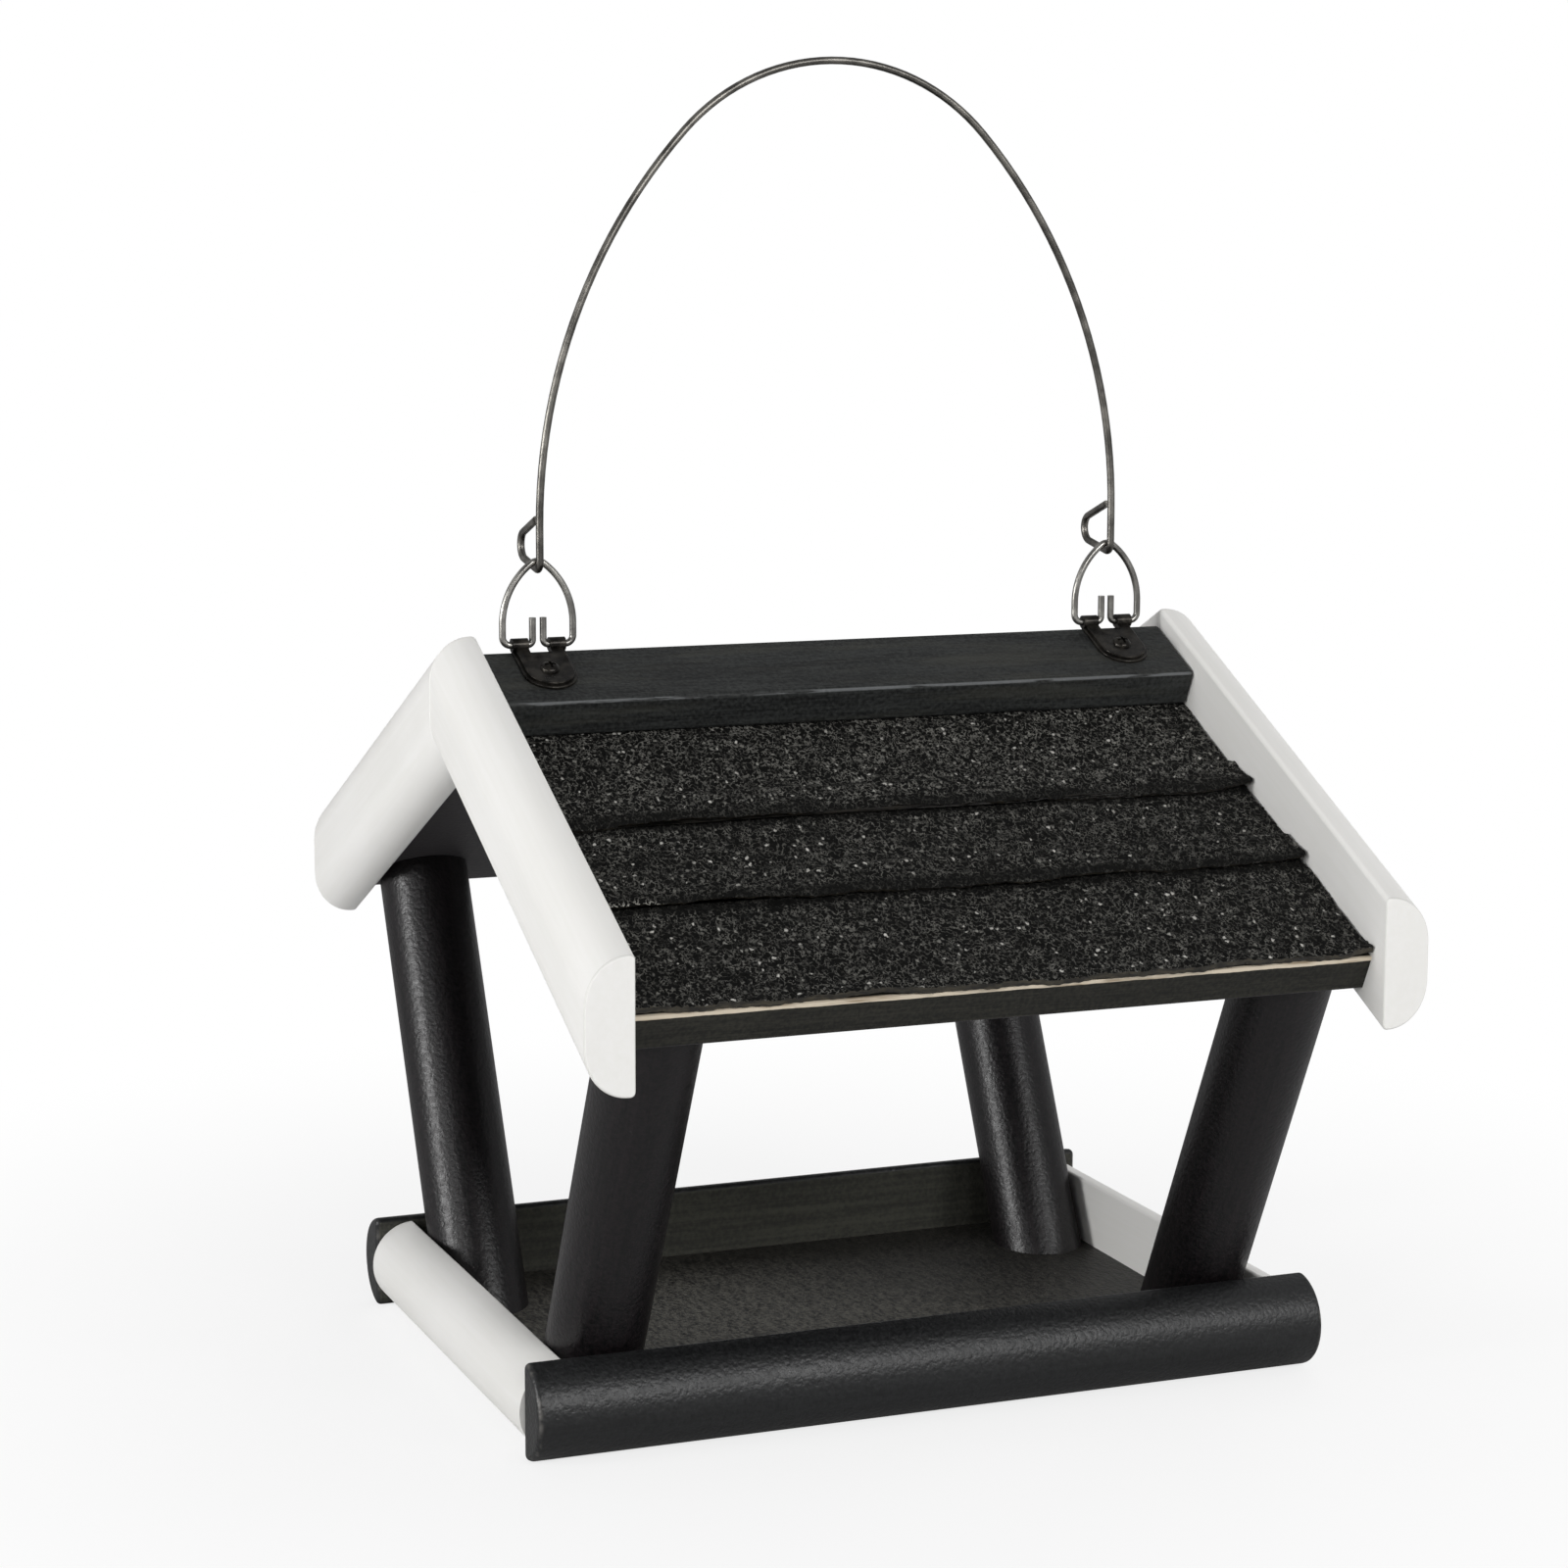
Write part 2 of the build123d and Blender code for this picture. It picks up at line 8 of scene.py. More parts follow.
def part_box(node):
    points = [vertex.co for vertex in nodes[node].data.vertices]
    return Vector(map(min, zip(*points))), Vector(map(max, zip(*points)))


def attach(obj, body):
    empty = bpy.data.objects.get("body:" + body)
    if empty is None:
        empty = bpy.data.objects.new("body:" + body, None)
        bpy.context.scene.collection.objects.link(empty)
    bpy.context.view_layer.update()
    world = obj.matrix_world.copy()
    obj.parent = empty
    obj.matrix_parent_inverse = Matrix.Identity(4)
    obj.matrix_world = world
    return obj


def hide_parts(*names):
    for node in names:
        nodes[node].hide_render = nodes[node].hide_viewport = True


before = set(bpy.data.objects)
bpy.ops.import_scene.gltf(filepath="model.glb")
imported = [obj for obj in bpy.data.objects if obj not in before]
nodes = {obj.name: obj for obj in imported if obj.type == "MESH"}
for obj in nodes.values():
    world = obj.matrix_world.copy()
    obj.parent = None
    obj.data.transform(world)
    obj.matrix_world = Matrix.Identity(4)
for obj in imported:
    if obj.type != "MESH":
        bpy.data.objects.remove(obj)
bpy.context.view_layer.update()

# Tray floor
# A thin sawn softwood board that carries the seed, its grain from front to back. Stained black,
# with painted shade towards the back and the right; brads through the rails hold its edges.


class Socket:
    """An output of one of a finish's nodes. Sums on it add Math nodes."""

    def __init__(self, finish, output):
        self.finish = finish
        self.output = output

    def math(self, operation, first, second):
        return self.finish.node("Math", {"operation": operation}, {0: first, 1: second})

    def __add__(self, other):
        return self.math("ADD", self, other)

    __radd__ = __add__

    def __sub__(self, other):
        return self.math("SUBTRACT", self, other)

    def __rsub__(self, other):
        return self.math("SUBTRACT", other, self)

    def __mul__(self, other):
        return self.math("MULTIPLY", self, other)

    __rmul__ = __mul__

    def __abs__(self):
        return self.math("ABSOLUTE", self, 0.0)

    def rise(self, low, high):
        """Smooth step: 0 up to low and 1 from high on, or the reverse if low is the greater."""
        settings = {"interpolation_type": "SMOOTHSTEP"}
        inputs = {"Value": self, "From Min": low, "From Max": high}
        return self.finish.node("MapRange", settings, inputs)


class Finish:
    """Nodes of a material or of the world, added one at a time."""

    def __init__(self, owner, shader="Principled BSDF"):
        owner.use_nodes = True
        self.owner = owner
        self.tree = owner.node_tree
        self.surface = self.tree.nodes[shader]

    def node(self, kind, settings, inputs, output=0):
        """Any node, from its type, its settings, set first, and its sockets' values or links."""
        made = self.tree.nodes.new("ShaderNode" + kind)
        for name, value in settings.items():
            setattr(made, name, value)
        for name, value in inputs.items():
            self.feed(made.inputs[name], value)
        return Socket(self, made.outputs[output])

    def feed(self, socket, value):
        if isinstance(value, Socket):
            self.tree.links.new(value.output, socket)
        elif socket.type == "RGBA":
            socket.default_value = (*value, 1.0)
        else:
            socket.default_value = value

    def shade(self, inputs):
        for name, value in inputs.items():
            self.feed(self.surface.inputs[name], value)

    def place(self, lean=0.0):
        """Place on the feeder, turned about X so that a leaning piece's grain runs along it."""
        place = self.node("TexCoord", {}, {}, "Object")
        if lean:
            turn = {"rotation_type": "X_AXIS"}
            place = self.node("VectorRotate", turn, {"Vector": place, "Angle": lean})
        return place

    def stretch(self, place, scale):
        return self.node("VectorMath", {"operation": "MULTIPLY"}, {0: place, 1: scale})

    def parts(self, vector):
        return [self.node("SeparateXYZ", {}, {0: vector}, axis) for axis in "XYZ"]

    def noise(self, place, scale, detail=2.0, roughness=0.5):
        inputs = {"Vector": place, "Scale": scale, "Detail": detail, "Roughness": roughness}
        return self.node("TexNoise", {}, inputs)

    def grain(self, place, scale, detail=2.0, roughness=0.5):
        """Noise drawn out along the axis with the smallest scale."""
        return self.noise(self.stretch(place, scale), 1.0, detail, roughness)

    def mix(self, mask, first, second):
        """Colour that goes from the first to the second as the mask rises."""
        return self.node("Mix", {"data_type": "RGBA"}, {0: mask, 6: first, 7: second}, 2)

    def bump(self, height, distance):
        return self.node("Bump", {}, {"Height": height, "Distance": distance})


def colour(red, green, blue):
    """Colour as the eye reads it, 0 to 255, turned into the light values that shaders use."""
    levels = [level / 255 for level in (red, green, blue)]
    return tuple(v / 12.92 if v <= 0.04045 else ((v + 0.055) / 1.055) ** 2.4 for v in levels)


def dress(finish, *names):
    """Puts a finish on CAD nodes."""
    for name in names:
        nodes[name].data.materials.clear()
        nodes[name].data.materials.append(finish.owner)


LONG_GRAIN = (14.0, 420.0, 420.0)  # streaks along X, to the metre
FINE_GRAIN = (70.0, 1900.0, 1900.0)


def black_stain(
    name,
    dark,
    pale,
    lean=0.0,
    long_grain=LONG_GRAIN,
    fine_grain=FINE_GRAIN,
    peel=0.12,
    dull=0.27,
    sawn=0.0,
):
    """Black stain on softwood: grain, pores and the skin's fine texture.

    Peel is the skin's relief in millimetres, dull the least roughness, and sawn runs from 0 for a
    planed face to 1 for a sawn one.
    """
    finish = Finish(bpy.data.materials.new(name))
    place = finish.place(lean)
    streaks = finish.grain(place, long_grain, 4.0, 0.6)
    pores = finish.grain(place, fine_grain)
    skin = finish.noise(place, 820.0, 1.0)
    blotch = finish.noise(place, 35.0)
    mottle = (0.3 * streaks + 0.3 * pores + 0.4 * skin).rise(0.36, 0.64)
    finish.streaks = streaks
    finish.tone = finish.mix(mottle, dark, pale)
    finish.shine = dull + 0.18 * sawn + 0.08 * blotch + 0.2 * skin
    finish.relief = (0.03 + 0.2 * sawn) * streaks + (0.03 + 0.2 * sawn) * pores + skin
    finish.shade(
        {
            "Base Color": finish.tone,
            "Roughness": finish.shine,
            "Normal": finish.bump(finish.relief, peel * 1e-3),
            "Specular IOR Level": 0.4 - 0.15 * sawn,
        }
    )
    return finish


FLOOR_RELIEF = 0.0004
floor_stain = black_stain(
    "black_stained_floor",
    colour(12, 11, 10),
    colour(88, 86, 79),
    long_grain=(620.0, 170.0, 620.0),
    fine_grain=(900.0, 380.0, 900.0),
    dull=0.3,
    sawn=0.5,
)
floor_grain = 0.6 * floor_stain.relief + 0.7 * floor_stain.streaks
along, across = floor_stain.parts(floor_stain.place())[:2]
cloud = floor_stain.noise(floor_stain.place(), 30.0)
# Painted shade: the floor's colour is darkened towards the back and the right.
painted_shade = (0.6 * along + 0.8 * across + 0.03 * cloud).rise(0.0, 0.09)
floor_stain.shade(
    {
        "Base Color": floor_stain.mix(0.65 * painted_shade, floor_stain.tone, colour(18, 17, 16)),
        "Normal": floor_stain.bump(floor_grain, FLOOR_RELIEF),
        "Specular IOR Level": 0.38,
    }
)
dress(floor_stain, "tray_floor")

# Long rails
# Half-round softwood bars along the front and the back, flat side inward, past the side rails at
# both ends. The same black stain, thinner on the sawn flat and rubbed a little round the ends.

RAIL_RIM = 0.0016  # width of the rubbed band at a rail's end
rail_stain = black_stain(
    "black_stained_rails", colour(10, 11, 12), colour(24, 25, 26), peel=0.22, dull=0.32
)
rail_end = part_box("front_rail")[1].x
rail_flat = -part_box("front_rail")[1].y
along, across = rail_stain.parts(rail_stain.place())[:2]
rail_rim = abs(along).rise(rail_end - RAIL_RIM, rail_end - 0.0006)
rail_rim = rail_rim * abs(along).rise(rail_end, rail_end - 0.0005)
rail_rub = rail_rim * rail_stain.noise(rail_stain.place(), 260.0).rise(0.45, 0.65)
flat_side = abs(across).rise(rail_flat + 0.0002, rail_flat + 0.0001)
saw_marks = (0.6 * rail_stain.streaks + 0.4 * rail_stain.relief).rise(0.36, 0.68)
sawn_tone = rail_stain.mix(saw_marks, colour(40, 40, 34), colour(66, 66, 57))
rail_tone = rail_stain.mix(flat_side, rail_stain.tone, sawn_tone)
rail_stain.shade(
    {
        "Base Color": rail_stain.mix(rail_rub, rail_tone, colour(74, 72, 69)),
        "Roughness": rail_stain.shine + 0.3 * flat_side,
        "Specular IOR Level": 0.58,
    }
)
dress(rail_stain, "front_rail", "back_rail")

# Side rails
# The same half-round bar, shorter, dowelled between the long rails. Its off-white paint is a smooth
# satin skin through which the grain hardly shows.

BRUSH_MARKS = (600.0, 22.0, 600.0)


def white_paint(name, lean=0.0):
    """Smooth off-white paint with faint brush marks along the bar."""
    finish = Finish(bpy.data.materials.new(name))
    place = finish.place(lean)
    brush = finish.grain(place, BRUSH_MARKS, 3.0, 0.55)
    cloud = finish.noise(place, 22.0, 3.0, 0.55)
    skin = finish.noise(place, 700.0)
    marks = (0.5 * brush + 0.5 * cloud).rise(0.36, 0.66)
    finish.tone = finish.mix(marks, colour(228, 227, 223), colour(231, 230, 227))
    finish.shade(
        {
            "Base Color": finish.tone,
            "Roughness": 0.4 + 0.16 * cloud,
            "Normal": finish.bump(0.3 * brush + 0.4 * skin, 0.000012),
        }
    )
    return finish


dress(white_paint("white_painted_side_rails"), "left_rail", "right_rail")

# Posts
# Round softwood bars that lean out to the eaves, square to the roof at the head and cut level at
# the foot. Stained black, with a screw into each end.

PITCH = math.radians(26.0)
POST_GRAIN = (420.0, 420.0, 14.0)
POST_PORES = (1900.0, 1900.0, 70.0)
for row, lean in (("front", -PITCH), ("back", PITCH)):
    post_stain = black_stain(
        "black_stained_" + row + "_posts",
        colour(9, 9, 10),
        colour(24, 19, 21),
        lean,
        POST_GRAIN,
        POST_PORES,
        peel=0.14,
        dull=0.25,
    )
    dress(post_stain, row + "_left_post", row + "_right_post")

# Roof panels
# Softwood boards screwed down on the posts, meeting in a plumb joint at the ridge. Stained black,
# with painted light on the underside; a line of raw wood is left along the top of the eave's edge.

PANEL = 0.0105
RAW_LINE = 0.0012
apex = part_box("front_roof_panel")[1].z
roof_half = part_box("front_roof_panel")[1].x
eave_down = -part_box("front_roof_panel")[0].y / math.cos(PITCH)


def on_slope(finish, side):
    """Place turned with the slope, way down it from the apex, and height off the panel's top."""
    turned = finish.node(
        "VectorRotate",
        {"rotation_type": "X_AXIS"},
        {"Vector": finish.place(), "Center": (0.0, 0.0, apex), "Angle": side * PITCH},
    )
    across, up = finish.parts(turned)[1:]
    return turned, side * across, up - apex


for row, side in (("front", -1), ("back", 1)):
    panel_stain = black_stain(
        "black_stained_" + row + "_panel",
        colour(22, 22, 19),
        colour(44, 43, 37),
        side * PITCH,
        sawn=0.9,
    )
    turned, down, lift = on_slope(panel_stain, side)
    line_depth = lift + 0.0008 * panel_stain.grain(turned, (90.0, 300.0, 300.0), 3.0, 0.6)
    raw = line_depth.rise(0.0003 - RAW_LINE, 0.0005 - RAW_LINE)
    raw = raw * down.rise(eave_down - 0.0012, eave_down - 0.0005)
    smudge = panel_stain.grain(turned, (60.0, 500.0, 500.0)).rise(0.5, 0.72)
    bare_wood = panel_stain.mix(smudge, colour(206, 194, 174), colour(150, 133, 110))
    # Painted light: the panel's underside is given a paler tone.
    underside = lift.rise(0.0002 - PANEL, 0.0001 - PANEL)
    panel_tone_with_painted_light = panel_stain.mix(0.45 * underside, panel_stain.tone, colour(74, 71, 76))
    panel_stain.shade({"Base Color": panel_stain.mix(raw, panel_tone_with_painted_light, bare_wood)})
    dress(panel_stain, row + "_roof_panel")

# Roof felt
# Three courses of bitumen sheet faced with stone granules on each slope, laid from the eave up with
# laps. They are cut by hand: wavy edges that lift a little, and right corners that curl.

FELT = 0.0022
COURSE_EDGES = (0.066, 0.1035)  # lower edges of the top and middle courses, down the slope
LAP = 0.010
CLIMB = 0.004
APEX_GAP = 0.0006
EAVE_OVER = 0.0003
END_GAP = 0.0006  # between a course and the barge board
GRIT_STEP = 0.0006  # mesh spacing that carries the granules' relief
GRIT = 0.00016
GRIT_SINK = 0.00012  # the granules' mean level below the full thickness
RIDGE_COVER = 0.0205  # the top course lies flat under the ridge board down to here
COVER_FADE = 0.002
LIP = 0.009  # height of the strip that lifts along a lower edge
LIFT = 0.0007
CURL = 0.0012
CURL_FROM = 0.012  # in from the roof's right end
CURL_RUN = 0.011
EAVE_WEAR = 0.0003
LAP_WEAR = 0.0011
WEAR_REACH = 0.0008
UNDERCUT = 0.0007
TORN = 0.024  # length of the pale torn edge at the middle course's left end
TORN_DEPTH = 0.0007
TORN_FADE = 0.004
CUT_WAVES = [(0.19, 0.0007), (0.063, 0.0005), (0.021, 0.0003), (0.009, 0.0002), (0.0031, 0.00015)]
END_WAVES = [(0.031, 0.0003), (0.011, 0.0002)]
LIFT_WAVES = [(0.083, 0.0004), (0.037, 0.0003)]
SWELL_ALONG = [(0.07, 0.0001)]
SWELL_DOWN = [(0.02, 0.00008)]


def felt_grit():
    """Black bitumen full of dark, grey and a few bright granules, worn smooth on each lap's lip
    with painted shade below it.
    """
    finish = Finish(bpy.data.materials.new("mineral_felt"))
    place = finish.place()
    across, up = finish.parts(place)[1:]
    upright = finish.stretch(place, (1.0, 0.72, 1.0))
    wobble = finish.node("TexNoise", {}, {"Vector": place, "Scale": 450.0, "Detail": 1.0}, "Color")
    shifted = finish.node(
        "VectorMath", {"operation": "MULTIPLY_ADD"}, {0: wobble, 1: (0.0016,) * 3, 2: upright}
    )
    cells = {"Vector": shifted, "Scale": 640.0}
    depth = finish.node("TexVoronoi", {}, cells, "Distance")
    chance = finish.parts(finish.node("TexVoronoi", {}, cells, "Color"))[0]
    crumbs = abs(finish.noise(upright, 600.0, 2.0, 0.6) - 0.5).rise(0.06, 0.005)
    drift = finish.noise(place, 60.0)
    down = abs(across) * math.cos(PITCH) + (apex - up) * math.sin(PITCH) + 0.004 * drift
    # Fewer granules in a band at each lap: worn bitumen on the lip and painted shade on the course
    # just below it.
    bare_and_shaded = 0.0
    for edge in COURSE_EDGES:
        band = down.rise(edge - 0.0035, edge + 0.001) * down.rise(edge + 0.0045, edge + 0.0025)
        bare_and_shaded = bare_and_shaded + band
    luck = chance - 0.3 * bare_and_shaded
    clump = finish.noise(place, 260.0).rise(0.3, 0.7)
    # The granules are made lighter towards the ridge, from the middle course up.
    paler_to_ridge = 0.85 + 0.4 * down.rise(0.085, 0.045)
    speckle = crumbs * (0.25 + 0.75 * clump) * (1.0 - 0.7 * bare_and_shaded) * paler_to_ridge
    crust = finish.mix(speckle, colour(17, 17, 16), colour(112, 111, 106))
    granule = depth.rise(0.42, 0.25)
    grey = finish.mix(granule * luck.rise(0.7, 0.97) * paler_to_ridge, crust, colour(132, 131, 125))
    stone = finish.mix(granule * luck.rise(0.935, 0.965), grey, colour(196, 194, 188))
    torn = finish.node("Attribute", {"attribute_name": "torn"}, {}, "Fac")
    finish.shade(
        {
            "Base Color": finish.mix(torn * crumbs.rise(0.0, 0.4), stone, colour(176, 174, 166)),
            "Roughness": 0.8 - 0.36 * luck.rise(0.6, 0.95),
            "Normal": finish.bump(0.5 * crumbs + (0.3 + 0.7 * luck) * granule, 0.0004),
            "Specular IOR Level": 0.08,
        }
    )
    return finish


def felt_edge():
    """Bitumen where the sheet is cut: smooth, dark and a little brown."""
    finish = Finish(bpy.data.materials.new("bitumen_cut_edge"))
    pressed = finish.grain(finish.place(), (160.0, 900.0, 900.0), 3.0, 0.6)
    edge_tone = finish.mix(pressed.rise(0.35, 0.7), colour(24, 22, 17), colour(60, 55, 43))
    finish.shade(
        {
            "Base Color": edge_tone,
            "Roughness": 0.5 + 0.25 * pressed,
            "Normal": finish.bump(pressed, 0.0003),
        }
    )
    return finish


def ripple(chance, place, waves):
    """Wandering line of a hand cut: a few waves, each (length, height), with drawn phases."""
    turns = [(place / length + chance.random(), height) for length, height in waves]
    return sum(height * np.sin(2 * np.pi * turn) for turn, height in turns)


def felt_course(name, node, side, top, bottom, climb, seed, torn_end):
    """One strip of felt as a closed sheet that lies on the panel and climbs on the course below."""
    chance = np.random.default_rng(seed)
    lowest = climb == math.inf
    columns = int(2 * roof_half / GRIT_STEP) + 1
    rows = int((bottom - top) / GRIT_STEP) + 1
    across = np.linspace(-1.0, 1.0, columns)[:, None]
    run = np.linspace(0.0, 1.0, rows)[None, :]
    cut = ripple(chance, across * roof_half, CUT_WAVES)
    down = top + (bottom + cut - top) * run
    ends = [END_GAP + ripple(chance, down, END_WAVES) for _ in range(2)]
    along = across * (roof_half - np.where(across < 0, ends[0], ends[1]))
    lip = np.clip((down - bottom + LIP) / LIP, 0.0, 1.0) ** 2
    lifted = LIFT + ripple(chance, across * roof_half, LIFT_WAVES)
    curled = CURL * np.clip((along - roof_half + CURL_FROM) / CURL_RUN, 0.0, 1.0) ** 2
    climbed = np.clip((down - climb + CLIMB) / CLIMB, 0.0, 1.0) * FELT
    under = climbed + lip * (np.maximum(lifted, 0.0) + curled)
    shown = np.clip((down - RIDGE_COVER) / COVER_FADE, 0.0, 1.0)
    swell = ripple(chance, across * roof_half, SWELL_ALONG)
    swell = swell + ripple(chance, down, SWELL_DOWN)
    grit = chance.normal(0.0, GRIT, down.shape)
    over = under + FELT - GRIT_SINK + shown * (swell + grit)
    to_lip = (1.0 - run) * (bottom - top)
    over -= (EAVE_WEAR if lowest else LAP_WEAR) * np.exp(-to_lip / WEAR_REACH)

    def lay(along, down, lift):
        y = side * (down * math.cos(PITCH) + lift * math.sin(PITCH))
        z = apex - down * math.sin(PITCH) + lift * math.cos(PITCH)
        return np.stack([along, y, z], axis=-1).reshape(-1, 3)

    # The upper face carries the relief, and only its rim is repeated below.
    index = np.arange(columns * rows).reshape(columns, rows)
    rim = np.concatenate([index[:, 0], index[-1, 1:], index[-2::-1, -1], index[0, -2:0:-1]])
    tuck = down - (0.0 if lowest else UNDERCUT) * (run > 0.999)
    sheet = lay(along, down, over)
    base = lay(along, tuck, under)[rim]
    low = np.full(columns * rows, -1)
    low[rim] = len(sheet) + np.arange(len(rim))
    after = np.roll(rim, -1)
    quads = [index[:-1, :-1], index[1:, :-1], index[1:, 1:], index[:-1, 1:]]
    faces = np.stack(quads, axis=-1).reshape(-1, 4).tolist()
    top_faces = len(faces)
    faces += np.stack([rim, low[rim], low[after], after], axis=-1).tolist()
    low = low.reshape(columns, rows)
    for row in range(rows - 1):
        near = low[:, row] if row == 0 else low[[0, -1], row]
        far = low[:, row + 1] if row == rows - 2 else low[[0, -1], row + 1]
        faces.append(near[::-1].tolist() + far.tolist())
    if side < 0:
        faces = [face[::-1] for face in faces]
    mesh = bpy.data.meshes.new(name)
    mesh.from_pydata(np.concatenate([sheet, base]).tolist(), [], faces)
    mesh.materials.append(grit_finish.owner)
    mesh.materials.append(edge_finish.owner)
    cut_faces = [int(number >= top_faces) for number in range(len(faces))]
    mesh.polygons.foreach_set("material_index", cut_faces)
    mesh.polygons.foreach_set("use_smooth", [True] * len(faces))
    mesh.set_sharp_from_angle(angle=math.radians(55))
    torn = np.clip((torn_end - roof_half - along) / TORN_FADE, 0.0, 1.0)
    torn = np.exp(-to_lip / TORN_DEPTH) * torn
    torn_points = np.append(torn.ravel(), torn.ravel()[rim])
    mesh.attributes.new("torn", "FLOAT", "POINT").data.foreach_set("value", torn_points)
    # In the map the upper face lies flat, with the rim and the underside in a strip below it.
    flat = np.broadcast_arrays(0.5 + 0.49 * across, 0.13 + 0.86 * run)
    flat = np.stack(flat, axis=-1).reshape(-1, 2)
    flat = np.concatenate([flat, flat[rim] * (1.0, 0.06)])
    corners = np.empty(len(mesh.loops), dtype=int)
    mesh.loops.foreach_get("vertex_index", corners)
    mesh.uv_layers.new(name="OFBake").uv.foreach_set("vector", flat[corners].ravel())
    piece = bpy.data.objects.new(name, mesh)
    bpy.context.scene.collection.objects.link(piece)
    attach(piece, "house")
    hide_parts(node)


grit_finish = felt_grit()
edge_finish = felt_edge()
courses = (
    ("eave", COURSE_EDGES[1] - LAP, eave_down + EAVE_OVER, math.inf),
    ("middle", COURSE_EDGES[0] - LAP, COURSE_EDGES[1], COURSE_EDGES[1] - LAP - FELT),
    ("top", APEX_GAP, COURSE_EDGES[0], COURSE_EDGES[0] - LAP - FELT),
)
for row, side, first_seed in (("front", -1, 11), ("back", 1, 31)):
    for number, (course, top, bottom, climb) in enumerate(courses):
        node = row + "_felt_" + course
        torn_end = TORN if node == "front_felt_middle" else 0.0
        felt_course(node + "_sheet", node, side, top, bottom, climb, first_seed + number, torn_end)

# Ridge boards
# Two softwood boards over the top of the felt, screwed from inside and meeting in a plumb joint.
# Stained black; the stain is worn to a broken pale line along the rounded lower edge.

RIDGE_WIDTH = 0.0264
RIDGE_TOP = 0.014
RIDGE_ROUND = 0.0014
ridge_edge = RIDGE_WIDTH - RIDGE_TOP * math.tan(PITCH)
for row, side in (("front", -1), ("back", 1)):
    ridge_stain = black_stain(
        "black_stained_" + row + "_ridge",
        colour(17, 18, 18),
        colour(48, 50, 49),
        side * PITCH,
        long_grain=(22.0, 300.0, 300.0),
        peel=0.3,
        dull=0.36,
        sawn=0.5,
    )
    turned, down, lift = on_slope(ridge_stain, side)
    arris = down.rise(ridge_edge - 0.55 * RIDGE_ROUND, ridge_edge - 0.35 * RIDGE_ROUND)
    arris = arris * lift.rise(RIDGE_TOP - 0.75 * RIDGE_ROUND, RIDGE_TOP - 0.55 * RIDGE_ROUND)
    broken = ridge_stain.grain(turned, (45.0, 500.0, 500.0), 3.0, 0.6).rise(0.42, 0.52)
    thin = ridge_stain.grain(turned, (12.0, 120.0, 120.0), 4.0, 0.65).rise(0.48, 0.68)
    board_tone = ridge_stain.mix(0.45 * thin, ridge_stain.tone, colour(60, 60, 54))
    worn_tone = ridge_stain.mix(arris * broken, board_tone, colour(90, 92, 93))
    ridge_stain.shade({"Base Color": worn_tone})
    dress(ridge_stain, row + "_ridge_board")

# Barge boards
# Bars with well rounded outer edges, painted off-white and nailed flat to the roof's ends. Mitred
# at the ridge and cut plumb at the eaves, with painted shade along the cut's rounded edge.

BARGE_END_ROUND = 0.0006
barge_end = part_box("back_left_barge")[1].y
for row, side in (("front", -1), ("back", 1)):
    barge_paint = white_paint("white_painted_" + row + "_barges", side * PITCH)
    out = abs(barge_paint.parts(barge_paint.place())[1])
    # Painted shade: the rounded edge round each plumb cut is greyed so that it catches less light.
    cut_edge = out.rise(barge_end - 1.1 * BARGE_END_ROUND, barge_end - 0.8 * BARGE_END_ROUND)
    cut_face = out.rise(barge_end - 0.15 * BARGE_END_ROUND, barge_end - 0.02 * BARGE_END_ROUND)
    edge_tone = barge_paint.mix(
        cut_edge * (1.0 - cut_face), barge_paint.tone, colour(213, 212, 208)
    )
    barge_paint.shade({"Base Color": edge_tone})
    dress(barge_paint, row + "_left_barge", row + "_right_barge")

# Hanger straps
# Sheet steel folded round the ring's wire and screwed down on the front ridge board. The sheet is
# bronzed nearly black and rubbed to a dull shine.

SHORN_EDGE = 0.0002


def bronzed_steel(name):
    """Dark bronzed steel, cloudy, with finer scratches in the gloss."""
    finish = Finish(bpy.data.materials.new(name))
    place = finish.place()
    cloud = finish.noise(place, 240.0, 3.0, 0.6)
    scratch = finish.grain(place, (2600.0, 500.0, 500.0), 2.0, 0.6)
    finish.shade(
        {
            "Base Color": finish.mix(cloud.rise(0.35, 0.7), colour(30, 28, 26), colour(66, 63, 58)),
            "Roughness": 0.14 + 0.25 * cloud + 0.1 * scratch,
            "Normal": finish.bump(0.5 * cloud + 0.2 * scratch, 0.00008),
            "Metallic": 0.8,
        }
    )
    return finish


strap_steel = bronzed_steel("bronzed_strap_steel")
dress(strap_steel, "left_hanger_strap", "right_hanger_strap", "hanger_screws")
for name in ("left_hanger_strap", "right_hanger_strap"):
    shorn = nodes[name].modifiers.new("shorn_edges", "BEVEL")
    shorn.width = SHORN_EDGE
    shorn.segments = 2
    shorn.limit_method = "ANGLE"
    shorn.angle_limit = math.radians(50)

# Rings
# Pear-shaped rings of bright drawn wire, whose ends pass through the strap's knuckles and turn up
# between them. They tip over to the front and back.


def drawn_wire(name, dark, pale, roughness):
    """Drawn steel wire, faintly pitted, with a little dullness from handling."""
    finish = Finish(bpy.data.materials.new(name))
    place = finish.place()
    dull = finish.noise(place, 130.0, 3.0, 0.6)
    pits = finish.noise(place, 900.0)
    finish.shade(
        {
            "Base Color": finish.mix(dull.rise(0.35, 0.68), dark, pale),
            "Roughness": roughness + 0.18 * dull,
            "Normal": finish.bump(pits, 0.000004),
            "Metallic": 1.0,
        }
    )
    return finish


ring_steel = drawn_wire("bright_ring_wire", colour(136, 134, 130), colour(186, 184, 178), 0.24)
dress(ring_steel, "left_ring", "right_ring")

# Bail
# One stiff grey wire bent to an arch, hooked through both rings and curled to the back. The feeder
# hangs by its middle.

